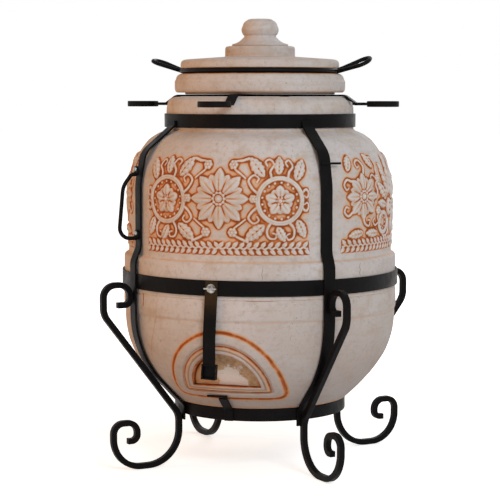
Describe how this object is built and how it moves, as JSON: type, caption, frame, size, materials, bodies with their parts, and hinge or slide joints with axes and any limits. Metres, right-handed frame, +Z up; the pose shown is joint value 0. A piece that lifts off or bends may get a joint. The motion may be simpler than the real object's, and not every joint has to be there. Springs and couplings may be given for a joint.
{
  "type": "clay tandoor oven",
  "caption": "Free-standing clay tandoor oven in a black iron cage with scrolled legs, vented lid, skewer hanger and ash door.",
  "frame": {"origin": "floor level on the jar's axis", "axes": "+Z up along the jar's axis, -Y towards the ash door, +X to the right of a person who faces the door"},
  "size_m": [0.6, 0.6044, 0.9273],
  "materials": {
    "clay": "matte, pale cream with rust stain in the recesses",
    "plug_clay": "matte, chalky",
    "black_iron": "black, semi-gloss",
    "hanger_steel": "black, heat-dulled",
    "zinc": "zinc plated",
    "cast_iron": "rough, sooty"
  },
  "bodies": {
    "jar": {"ash_pit_floor": "clay", "ash_pit_ring": "clay", "base_band": "black_iron", "body_lower": "clay", "body_upper": "clay", "bottom_support": "black_iron", "carry_handle_left": "black_iron", "carry_handle_right": "black_iron", "door_frame_inner": "clay", "door_frame_outer": "clay", "handle_rivets": "zinc", "hearth_ring": "clay", "keeper_pin": "black_iron", "keeper_tab": "black_iron", "latch_stud": "zinc", "latch_washer": "zinc", "leg_back_left": "black_iron", "leg_back_right": "black_iron", "leg_front_left": "black_iron", "leg_front_right": "black_iron", "mid_band": "black_iron", "neck_band": "black_iron", "relief_back": "clay", "relief_front": "clay", "relief_left": "clay", "relief_right": "clay", "strap_back_left": "black_iron", "strap_back_right": "black_iron", "strap_front_left": "black_iron", "strap_front_right": "black_iron", "tool_peg_left": "black_iron", "tool_peg_right": "black_iron"},
    "door": {"ash_plug": "plug_clay"},
    "latch": {"latch_bar": "black_iron", "latch_pad": "black_iron"},
    "wing_nut": {"latch_wing_nut": "zinc"},
    "grate": {"grate": "cast_iron"},
    "hanger": {"hanger_arm_back": "hanger_steel", "hanger_arm_front": "hanger_steel", "hanger_arm_left": "hanger_steel", "hanger_arm_right": "hanger_steel", "hanger_hoop_back": "hanger_steel", "hanger_hoop_front": "hanger_steel", "hanger_hoop_left": "hanger_steel", "hanger_hoop_right": "hanger_steel", "hanger_hub": "hanger_steel"},
    "lid": {"main_lid": "clay", "lid_ring": "black_iron", "lid_handle_left": "black_iron", "lid_handle_right": "black_iron"},
    "vent_cap": {"small_lid": "clay"}
  },
  "joints": [
    {"name": "latch_swing", "type": "hinge", "parent": "jar", "child": "latch", "pos_m": [-0.01, -0.2926, 0.3905], "axis": [0, 1, 0], "range_deg": [0, 114]},
    {"name": "plug_slide", "type": "slide", "parent": "jar", "child": "door", "axis": [0, -1, 0], "range_m": [0, 0.06]},
    {"name": "wing_nut_turn", "type": "hinge", "parent": "jar", "child": "wing_nut", "pos_m": [-0.01, -0.3, 0.3905], "axis": [0, -1, 0], "range_deg": [0, 180]},
    {"name": "grate_lift", "type": "slide", "parent": "jar", "child": "grate", "axis": [0, 0, 1], "range_m": [0, 0.3]},
    {"name": "hanger_lift", "type": "slide", "parent": "jar", "child": "hanger", "axis": [0, 0, 1], "range_m": [0, 0.3]},
    {"name": "lid_lift", "type": "slide", "parent": "hanger", "child": "lid", "axis": [0, 0, 1], "range_m": [0, 0.25]},
    {"name": "cap_lift", "type": "slide", "parent": "lid", "child": "vent_cap", "axis": [0, 0, 1], "range_m": [0, 0.15]}
  ],
  "couplings": [
    {"joint": "plug_slide", "follows": "latch_swing", "m_per_rad": 0.028648}
  ]
}
